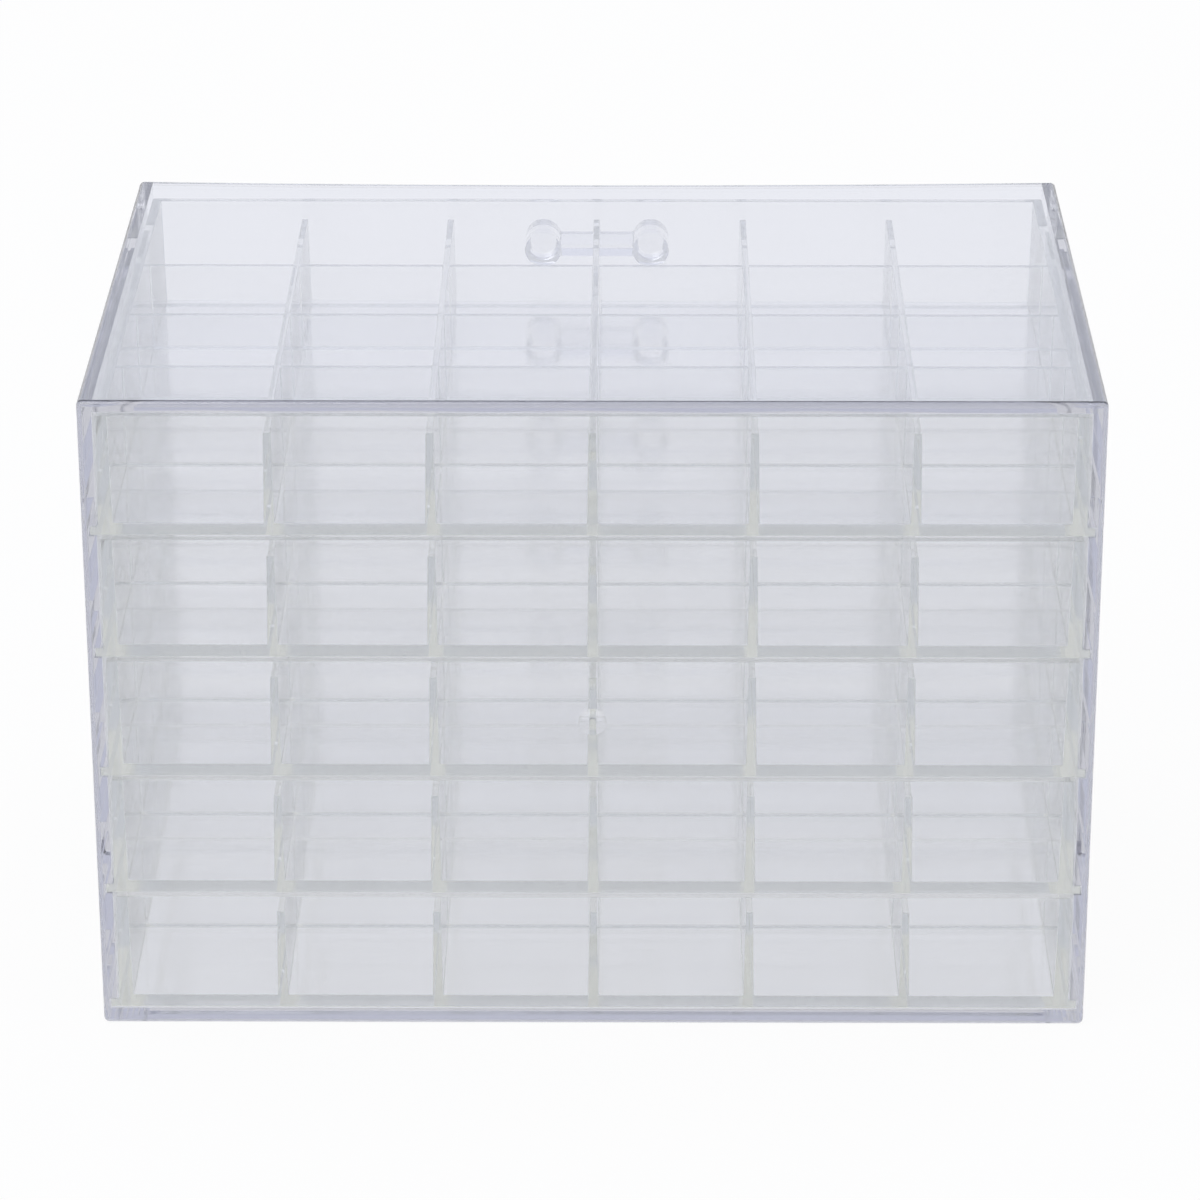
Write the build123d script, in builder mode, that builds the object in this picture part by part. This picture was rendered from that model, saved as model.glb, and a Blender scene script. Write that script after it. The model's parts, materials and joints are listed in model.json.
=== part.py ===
"""Nail art storage box: a clear moulded case, open at the front, with slide-out drawers divided into cells.

Frame: +Z up, the open front towards -Y, origin at the centre of the case's flat underside. Millimetres.
"""

import os
from math import atan2, degrees

from build123d import *

# Case: one moulding with a back, two sides, a bottom and a top whose free front edge sags a little
case_width = 230.0
case_depth = 155.2
case_height = 156.4
case_wall = 3.2
case_edge_radius = 1.3
top_bow = 0.9

# Dimple round the moulding gate in the middle of the case's back, with the gate's stub left in it
gate_radius = 3.3
gate_recess = 0.8
gate_stub_radius = 0.7
gate_stub_height = 0.5

# Drawers: a floor plate whose two long edges lie in grooves in the case's sides and slide along them
drawer_count = 5
drawer_floor = 2.1
groove_skin = 1.4
bearing_gap = 0.1
running_clearance = 0.3
side_gap = 0.3
back_gap = 0.4
front_setback = 8.0

# Drawer walls and dividers, thinner at the top so that the moulding leaves its tool
wall_top = 2.3
wall_base = 3.2
divider_top = 1.5
divider_height = 21.9
column_count = 6
row_count = 4

# Handle: two round posts joined by a level web, cemented on the drawer's front wall
post_count = 2
post_spacing = 27.0
post_diameter = 9.0
post_length = 11.0
post_chamfer = 1.4
web_thickness = 3.0
web_setback = 2.0
handle_rise = 1.2

overrun = 5.0

# Inside of the case
inner_width = case_width - 2 * case_wall
inner_height = case_height - 2 * case_wall
front_y = -case_depth / 2
back_y = case_depth / 2
inner_back_y = back_y - case_wall
groove_depth = case_wall - groove_skin
groove_height = bearing_gap + drawer_floor + running_clearance
groove_width = inner_width + 2 * groove_depth
drawer_pitch = inner_height / drawer_count

# Gate dimple, cut with a ball
gate_height = case_height / 2
gate_ball_radius = (gate_radius**2 + gate_recess**2) / (2 * gate_recess)
gate_floor_y = back_y - gate_recess

# One drawer, drawn with the underside of its floor at height 0
drawer_height = drawer_pitch - top_bow - bearing_gap - running_clearance
wall_height = drawer_height - drawer_floor
wall_slope = (wall_base - wall_top) / (2 * wall_height)
wall_draft = degrees(atan2(wall_slope, 1))
plate_width = groove_width - 2 * running_clearance
outer_width = inner_width - 2 * side_gap
drawer_front_y = front_y + front_setback
drawer_back_y = inner_back_y - back_gap
drawer_depth = drawer_back_y - drawer_front_y
drawer_middle_y = (drawer_front_y + drawer_back_y) / 2

# Cells between the dividers, measured on the floor; spread is what a cell gains by the dividers' tops
floor_width = outer_width - 2 * wall_base
floor_depth = drawer_depth - 2 * wall_base
spread = 2 * wall_slope * divider_height
divider_base = divider_top + spread
cell_width = (floor_width - (column_count - 1) * divider_base) / column_count
cell_depth = (floor_depth - (row_count - 1) * divider_base) / row_count

# Handle places on one drawer; its pieces start inside the front wall and are cut to the wall's outer face
handle_height = drawer_height / 2 + handle_rise
wall_middle_y = drawer_front_y + wall_base / 2
post_end_y = drawer_front_y - post_length


def level_heights():
    """Height of the underside of each drawer's floor, from the bottom drawer up."""
    return [case_wall + bearing_gap + drawer_pitch * level for level in range(drawer_count)]


def make_space_over_top():
    """The space above the top panel, which is level at the back and arched down along its front edge."""
    reach = case_width / 2 + overrun
    left = (-reach, case_height)
    right = (reach, case_height)
    with BuildPart() as space:
        for y, sag in ((back_y, 0), (front_y, top_bow)):
            with BuildSketch(Plane.XZ.offset(-y)):
                with BuildLine():
                    Polyline(left, (-reach, case_height + overrun), (reach, case_height + overrun), right)
                    if sag:
                        ThreePointArc(left, (0, case_height - sag), right)
                    else:
                        Line(left, right)
                make_face()
        loft(ruled=True)
    return space.part


def make_cavity(space_over_top):
    """The inside of the case: a bay with a groove on each side for each drawer's floor plate."""
    with BuildPart() as cavity:
        with BuildSketch(Plane.XZ.offset(-inner_back_y)):
            with Locations((0, case_wall)):
                Rectangle(inner_width, inner_height, align=(Align.CENTER, Align.MIN))
            for height in level_heights():
                with Locations((0, height - bearing_gap)):
                    Rectangle(groove_width, groove_height, align=(Align.CENTER, Align.MIN))
        extrude(amount=inner_back_y - front_y + overrun)
        add(space_over_top.moved(Location((0, 0, -case_wall))), mode=Mode.SUBTRACT)
    return cavity.part


def make_case():
    """The five-sided case, with the moulding gate's dimple in the middle of its back."""
    space_over_top = make_space_over_top()
    cavity = make_cavity(space_over_top)
    with BuildPart() as case:
        Box(case_width, case_depth, case_height, align=(Align.CENTER, Align.CENTER, Align.MIN))
        add(space_over_top, mode=Mode.SUBTRACT)
        fillet(case.edges(), case_edge_radius)
        add(cavity, mode=Mode.SUBTRACT)
        with Locations((0, gate_floor_y + gate_ball_radius, gate_height)):
            Sphere(gate_ball_radius, mode=Mode.SUBTRACT)
        with BuildSketch(Plane.XZ.offset(-gate_floor_y)):
            with Locations((0, gate_height)):
                Circle(gate_stub_radius)
        extrude(amount=gate_stub_height, both=True)
    return case.part


def make_wall_block():
    """The outside of a drawer above its floor plate: all four sides lean in towards the top."""
    with BuildPart() as block:
        with BuildSketch(Plane.XY.offset(drawer_floor)):
            with Locations((0, drawer_middle_y)):
                Rectangle(outer_width, drawer_depth)
        extrude(amount=wall_height, taper=wall_draft)
    return block.part


def make_drawer():
    """One drawer: a floor plate wider than the four walls on it, and dividers lower than the walls."""
    with BuildPart() as drawer:
        with BuildSketch():
            with Locations((0, drawer_middle_y)):
                Rectangle(plate_width, drawer_depth)
        extrude(amount=drawer_floor)
        add(make_wall_block())
        with BuildSketch(Plane.XY.offset(drawer_floor)):
            with Locations((0, drawer_middle_y)):
                with GridLocations(
                    cell_width + divider_base, cell_depth + divider_base, column_count, row_count
                ):
                    Rectangle(cell_width, cell_depth)
        extrude(amount=divider_height, taper=-wall_draft, mode=Mode.SUBTRACT)
        with BuildSketch(Plane.XY.offset(drawer_floor + divider_height)):
            with Locations((0, drawer_middle_y)):
                Rectangle(floor_width + spread, floor_depth + spread)
        extrude(amount=wall_height - divider_height, taper=-wall_draft, mode=Mode.SUBTRACT)
    return drawer.part


def make_handle():
    """A finger pull: two posts and a level web, cemented flat on the drawer's leaning front wall."""
    with BuildPart() as handle:
        with BuildSketch(Plane.XZ.offset(-wall_middle_y)):
            with Locations((0, handle_height)):
                with GridLocations(post_spacing, 0, post_count, 1):
                    Circle(post_diameter / 2)
        extrude(amount=wall_middle_y - post_end_y)
        post_ends = handle.faces().filter_by(Axis.Y).group_by(Axis.Y)[0]
        chamfer(post_ends.edges(), post_chamfer)
        with BuildSketch(Plane.XZ.offset(-wall_middle_y)):
            with Locations((0, handle_height)):
                Rectangle((post_count - 1) * post_spacing, web_thickness)
        extrude(amount=wall_middle_y - post_end_y - web_setback)
        add(make_wall_block(), mode=Mode.SUBTRACT)
    return handle.part


def write_step(part, name, height=0):
    """Sets the part at its height in the case and writes it under its own name."""
    placed = part.moved(Location((0, 0, height)))
    placed.label = name
    export_step(placed, f"parts/{name}.step")


os.makedirs("parts", exist_ok=True)
write_step(make_case(), "case")
drawer = make_drawer()
handle = make_handle()
for number, height in enumerate(reversed(level_heights()), start=1):
    write_step(drawer, f"drawer_{number}", height)
    write_step(handle, f"handle_{number}", height)
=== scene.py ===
"""Looks of the nail art storage box: clear moulded plastic on a plain white studio floor.

Every piece is the frame's own shape with its edges rounded as a moulding tool leaves them, in a clear plastic
with a slight tint, flow ripples and a faint haze. Metres, in the frame's axes: the open front is towards -Y.
"""

import json
from math import cos, radians, sin

import bmesh
import bpy
from mathutils import Matrix, Vector

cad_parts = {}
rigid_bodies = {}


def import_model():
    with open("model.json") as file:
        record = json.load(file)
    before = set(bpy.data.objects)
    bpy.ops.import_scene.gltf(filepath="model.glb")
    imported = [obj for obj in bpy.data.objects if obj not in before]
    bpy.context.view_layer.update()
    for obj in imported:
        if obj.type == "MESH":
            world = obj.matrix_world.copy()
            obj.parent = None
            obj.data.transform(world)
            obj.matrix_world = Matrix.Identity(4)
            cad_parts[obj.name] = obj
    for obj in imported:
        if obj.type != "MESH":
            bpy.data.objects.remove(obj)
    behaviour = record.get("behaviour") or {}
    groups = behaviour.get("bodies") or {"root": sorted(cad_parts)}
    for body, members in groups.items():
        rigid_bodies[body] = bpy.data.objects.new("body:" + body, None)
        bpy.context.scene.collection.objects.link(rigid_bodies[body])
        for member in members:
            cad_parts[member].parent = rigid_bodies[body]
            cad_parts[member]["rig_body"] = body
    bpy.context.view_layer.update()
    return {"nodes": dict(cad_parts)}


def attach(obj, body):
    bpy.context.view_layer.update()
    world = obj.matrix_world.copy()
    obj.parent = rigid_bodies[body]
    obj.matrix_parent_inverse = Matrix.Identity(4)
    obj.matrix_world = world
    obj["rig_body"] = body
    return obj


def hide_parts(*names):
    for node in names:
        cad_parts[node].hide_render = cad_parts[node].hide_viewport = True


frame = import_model()

MM = 0.001

# Camera, from the box's corners in the photograph, which looks at the closed back of the case
PHOTO_PIXELS = 1200
FOCAL_PIXELS = 4925
SENSOR_MM = 36
CAMERA_PLACE = Vector((-9.19, 1100.46, 549.96)) * MM
CAMERA_PITCH = radians(23.341)
CAMERA_YAW = radians(0.418)
CAMERA_ROLL = radians(-0.070)

# Clean-up of the frame's triangles: corners to weld, and the bend under which two faces are one flat face
WELD_DISTANCE = 0.001 * MM
FLAT_ANGLE = radians(0.1)

# Edges: rounded where they bend more than ROUNDED_ANGLE, and shaded as creases above the other two angles, one for
# the bends that are left before the rounding and one for those after it
ROUNDED_ANGLE = radians(40)
CREASE_ANGLE = radians(20)
STEP_ANGLE = radians(35)
CASE_EDGE = 0.08 * MM
DRAWER_EDGE = 0.15 * MM
HANDLE_EDGE = 0.25 * MM
EDGE_SEGMENTS = 3
EDGE_PROFILE = 0.5

# Cemented joint: how far a handle is set into its drawer, and how near the joint an edge stays sharp
HANDLE_SEAT = 0.03 * MM
SEAT_REACH = 0.6 * MM

# Floor: white to the camera, partly lit and shadowed in the plastic, and darker towards the camera's side
FLOOR_SIZE = 8
FLOOR_DROP = 0.2 * MM
FLOOR_WHITE = 0.9
CAMERA_GLOW = 0.95
PLASTIC_GLOW = 0.8
FLOOR_LEVEL = 0.95
NEAR_FLOOR = (0.12, 0.40)

# Sky: a white horizon, a bluish grey above it and less light on the camera's side, by direction
SKY_RISE = (0.10, 0.35)
SKY_COLOUR = (0.77, 0.79, 0.89)
SKY_TURN = (-0.2, 0.6)
CAMERA_SIDE = 0.85

# Lamp
LAMP_SIZE = 0.8
LAMP_PLACE = Vector((0.5, 0.6, 1.3))
LAMP_POWER = 4

# Plastic: haze in patches, which differs by the way a face looks, and ripples from the flow into the mould
PLASTIC_IOR = 1.59
PATCH_SCALE = 60
PATCH_DETAIL = 6
PATCH_REACH = (0.35, 0.75)
FACE_TURN = (0.4, 0.8)
FLOW_SCALE = 28
FLOW_DETAIL = 1
MOST_BOUNCES = 160

# tint colours one sheet, depth_colour and depth_density what is left along the inside of the plastic, haze is the
# least and most roughness of its surface, haze_shares how much of it there is on the faces that look to either side
# and on the level ones, and ripple the height of the flow marks
CASE_PLASTIC = {
    "tint": (0.955, 0.962, 0.985),
    "depth_colour": (0.66, 0.66, 0.70),
    "depth_density": 8,
    "haze": (0.0, 0.02),
    "haze_shares": (1, 1),
    "ripple": 0.004 * MM,
}
DRAWER_PLASTIC = {
    "tint": (0.996, 0.996, 0.995),
    "depth_colour": (0.62, 0.638, 0.565),
    "depth_density": 6.5,
    "haze": (0.04, 0.08),
    "haze_shares": (0.1, 1.15),
    "ripple": 0.006 * MM,
}
HANDLE_PLASTIC = {
    "tint": (0.990, 0.990, 0.992),
    "depth_colour": (0.63, 0.64, 0.65),
    "depth_density": 8,
    "haze": (0.0, 0.03),
    "haze_shares": (1, 1),
    "ripple": 0.006 * MM,
}


def make_camera():
    """The photograph's view."""
    level_reach = cos(CAMERA_PITCH)
    forward = Vector((sin(CAMERA_YAW) * level_reach, -cos(CAMERA_YAW) * level_reach, -sin(CAMERA_PITCH)))
    level_right = forward.cross(Vector((0, 0, 1))).normalized()
    level_up = level_right.cross(forward)
    right = cos(CAMERA_ROLL) * level_right + sin(CAMERA_ROLL) * level_up
    up = cos(CAMERA_ROLL) * level_up - sin(CAMERA_ROLL) * level_right
    data = bpy.data.cameras.new("camera")
    data.sensor_width = SENSOR_MM
    data.lens = FOCAL_PIXELS / PHOTO_PIXELS * SENSOR_MM
    camera = bpy.data.objects.new("camera", data)
    camera.matrix_world = Matrix.Translation(CAMERA_PLACE) @ Matrix((right, up, -forward)).transposed().to_4x4()
    bpy.context.scene.collection.objects.link(camera)
    bpy.context.scene.camera = camera


def fade(tree, value, reach, start, end, curve="SMOOTHSTEP"):
    """A socket that goes from start to end while value goes through the reach."""
    node = tree.nodes.new("ShaderNodeMapRange")
    node.interpolation_type = curve
    for socket, number in (("From Min", reach[0]), ("From Max", reach[1]), ("To Min", start), ("To Max", end)):
        node.inputs[socket].default_value = number
    tree.links.new(value, node.inputs["Value"])
    return node.outputs["Result"]


def combined(tree, operation, first, second=0):
    """A socket with two sockets, or a socket and a number, put together."""
    node = tree.nodes.new("ShaderNodeMath")
    node.operation = operation
    for socket, value in zip(node.inputs, (first, second)):
        if isinstance(value, (int, float)):
            socket.default_value = value
        else:
            tree.links.new(value, socket)
    return node.outputs[0]


def noise(tree, place, scale, detail):
    """A socket with noise over the place."""
    node = tree.nodes.new("ShaderNodeTexNoise")
    node.inputs["Scale"].default_value = scale
    node.inputs["Detail"].default_value = detail
    tree.links.new(place, node.inputs["Vector"])
    return node.outputs["Fac"]


def split_axes(tree, vector):
    """The sockets X, Y and Z of a vector."""
    node = tree.nodes.new("ShaderNodeSeparateXYZ")
    tree.links.new(vector, node.inputs[0])
    return node.outputs


def make_floor():
    """A floor that is white to the camera and keeps a soft share of the object's shadow."""
    mesh = bpy.data.meshes.new("floor")
    bm = bmesh.new()
    bmesh.ops.create_grid(bm, x_segments=1, y_segments=1, size=FLOOR_SIZE / 2)
    bm.to_mesh(mesh)
    bm.free()
    floor = bpy.data.objects.new("floor", mesh)
    floor.location.z = -FLOOR_DROP
    bpy.context.scene.collection.objects.link(floor)

    material = bpy.data.materials.new("floor_white")
    material.use_nodes = True
    tree = material.node_tree
    tree.nodes.clear()
    output = tree.nodes.new("ShaderNodeOutputMaterial")
    paint = tree.nodes.new("ShaderNodeBsdfDiffuse")
    paint.inputs["Color"].default_value = (FLOOR_WHITE, FLOOR_WHITE, FLOOR_WHITE, 1)
    place = split_axes(tree, tree.nodes.new("ShaderNodeTexCoord").outputs["Object"])
    near = fade(tree, place["Y"], NEAR_FLOOR, FLOOR_LEVEL, FLOOR_LEVEL * CAMERA_SIDE)
    path = tree.nodes.new("ShaderNodeLightPath").outputs
    glow = tree.nodes.new("ShaderNodeEmission")
    tree.links.new(combined(tree, "MAXIMUM", near, path["Is Camera Ray"]), glow.inputs["Strength"])
    bent = combined(tree, "MAXIMUM", path["Is Glossy Ray"], path["Is Transmission Ray"])
    straight_share = combined(tree, "MULTIPLY", path["Is Camera Ray"], CAMERA_GLOW)
    bent_share = combined(tree, "MULTIPLY", bent, PLASTIC_GLOW)
    mix = tree.nodes.new("ShaderNodeMixShader")
    tree.links.new(combined(tree, "MAXIMUM", straight_share, bent_share), mix.inputs[0])
    tree.links.new(paint.outputs[0], mix.inputs[1])
    tree.links.new(glow.outputs[0], mix.inputs[2])
    tree.links.new(mix.outputs[0], output.inputs["Surface"])
    mesh.materials.append(material)


def make_world():
    """White to the camera; around the object white low down, bluish grey above and darker on the camera's side."""
    world = bpy.data.worlds.new("studio")
    bpy.context.scene.world = world
    world.use_nodes = True
    tree = world.node_tree
    way = split_axes(tree, tree.nodes.new("ShaderNodeTexCoord").outputs["Generated"])
    to_camera = tree.nodes.new("ShaderNodeLightPath").outputs["Is Camera Ray"]
    rise = fade(tree, way["Z"], SKY_RISE, 0, 1)
    around = combined(tree, "SUBTRACT", 1, to_camera)
    sky = tree.nodes.new("ShaderNodeValToRGB")
    sky.color_ramp.elements[0].color = (1, 1, 1, 1)
    sky.color_ramp.elements[1].color = (*SKY_COLOUR, 1)
    tree.links.new(combined(tree, "MULTIPLY", rise, around), sky.inputs["Fac"])
    turn = fade(tree, way["Y"], SKY_TURN, 1, CAMERA_SIDE)
    background = tree.nodes["Background"]
    tree.links.new(sky.outputs["Color"], background.inputs["Color"])
    tree.links.new(combined(tree, "MAXIMUM", turn, to_camera), background.inputs["Strength"])


def make_lamp():
    """One large soft lamp above the camera's left."""
    data = bpy.data.lights.new("softbox", "AREA")
    data.shape = "SQUARE"
    data.size = LAMP_SIZE
    data.energy = LAMP_POWER
    lamp = bpy.data.objects.new("softbox", data)
    lamp.location = LAMP_PLACE
    lamp.rotation_euler = LAMP_PLACE.to_track_quat("Z", "Y").to_euler()
    bpy.context.scene.collection.objects.link(lamp)


def clear_plastic(name, tint, depth_colour, depth_density, haze, haze_shares, ripple):
    """A clear moulded plastic."""
    material = bpy.data.materials.new(name)
    material.use_nodes = True
    tree = material.node_tree
    shader = tree.nodes["Principled BSDF"]
    shader.inputs["Base Color"].default_value = (*tint, 1)
    shader.inputs["Transmission Weight"].default_value = 1
    shader.inputs["IOR"].default_value = PLASTIC_IOR

    place = tree.nodes.new("ShaderNodeTexCoord").outputs["Object"]
    rough = fade(tree, noise(tree, place, PATCH_SCALE, PATCH_DETAIL), PATCH_REACH, *haze, curve="LINEAR")
    facing = split_axes(tree, tree.nodes.new("ShaderNodeNewGeometry").outputs["True Normal"])
    for axis, share in zip("XZ", haze_shares):
        turned = combined(tree, "ABSOLUTE", facing[axis])
        rough = combined(tree, "MULTIPLY", rough, fade(tree, turned, FACE_TURN, 1, share))
    tree.links.new(rough, shader.inputs["Roughness"])

    bump = tree.nodes.new("ShaderNodeBump")
    bump.inputs["Distance"].default_value = ripple
    tree.links.new(noise(tree, place, FLOW_SCALE, FLOW_DETAIL), bump.inputs["Height"])
    tree.links.new(bump.outputs["Normal"], shader.inputs["Normal"])

    depth = tree.nodes.new("ShaderNodeVolumeAbsorption")
    depth.inputs["Color"].default_value = (*depth_colour, 1)
    depth.inputs["Density"].default_value = depth_density
    tree.links.new(depth.outputs["Volume"], tree.nodes["Material Output"].inputs["Volume"])
    return material


def softened(node, suffix, material, edge_radius, seat=0):
    """The node's shape with its edges rounded, as a piece that stands for it.

    A piece with a seat is set that far back into the one behind it, as a cemented joint, and isn't rounded there.
    """
    source = frame["nodes"][node]
    bm = bmesh.new()
    bm.from_mesh(source.data)
    bmesh.ops.remove_doubles(bm, verts=bm.verts, dist=WELD_DISTANCE)
    bmesh.ops.dissolve_limit(bm, angle_limit=FLAT_ANGLE, verts=bm.verts, edges=bm.edges)
    rounded = [edge for edge in bm.edges if edge.calc_face_angle(0) > ROUNDED_ANGLE]
    if seat:
        joint_y = max(vert.co.y for vert in bm.verts) - SEAT_REACH
        rounded = [edge for edge in rounded if min(vert.co.y for vert in edge.verts) < joint_y]
        bmesh.ops.translate(bm, vec=(0, seat, 0), verts=bm.verts)
    for face in bm.faces:
        face.smooth = True
    for edge in bm.edges:
        edge.smooth = edge.calc_face_angle(0) < CREASE_ANGLE
    for edge in rounded:
        edge.smooth = True
    bmesh.ops.bevel(
        bm,
        geom=rounded,
        offset=edge_radius,
        offset_type="OFFSET",
        segments=EDGE_SEGMENTS,
        profile=EDGE_PROFILE,
        affect="EDGES",
    )
    for edge in bm.edges:
        if edge.calc_face_angle(0) > STEP_ANGLE:
            edge.smooth = False
    mesh = bpy.data.meshes.new(f"{node}_{suffix}")
    bm.to_mesh(mesh)
    bm.free()
    mesh.materials.append(material)
    piece = bpy.data.objects.new(mesh.name, mesh)
    bpy.context.scene.collection.objects.link(piece)
    piece.modifiers.new("even_normals", "WEIGHTED_NORMAL").keep_sharp = True
    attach(piece, source["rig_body"])
    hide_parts(node)


def make_pieces():
    """Case, drawers and handles, each in its own plastic."""
    case_plastic = clear_plastic("case_plastic", **CASE_PLASTIC)
    drawer_plastic = clear_plastic("drawer_plastic", **DRAWER_PLASTIC)
    handle_plastic = clear_plastic("handle_plastic", **HANDLE_PLASTIC)
    for node in sorted(frame["nodes"]):
        if node.startswith("drawer"):
            softened(node, "tray", drawer_plastic, DRAWER_EDGE)
        elif node.startswith("handle"):
            softened(node, "pull", handle_plastic, HANDLE_EDGE, HANDLE_SEAT)
        else:
            softened(node, "shell", case_plastic, CASE_EDGE)


def set_render():
    """Plain colours, and enough bounces for light to cross every sheet of plastic."""
    scene = bpy.context.scene
    scene.view_settings.view_transform = "Standard"
    scene.cycles.max_bounces = MOST_BOUNCES
    scene.cycles.transmission_bounces = MOST_BOUNCES
    scene.cycles.glossy_bounces = MOST_BOUNCES


make_camera()
make_floor()
make_world()
make_lamp()
make_pieces()
set_render()
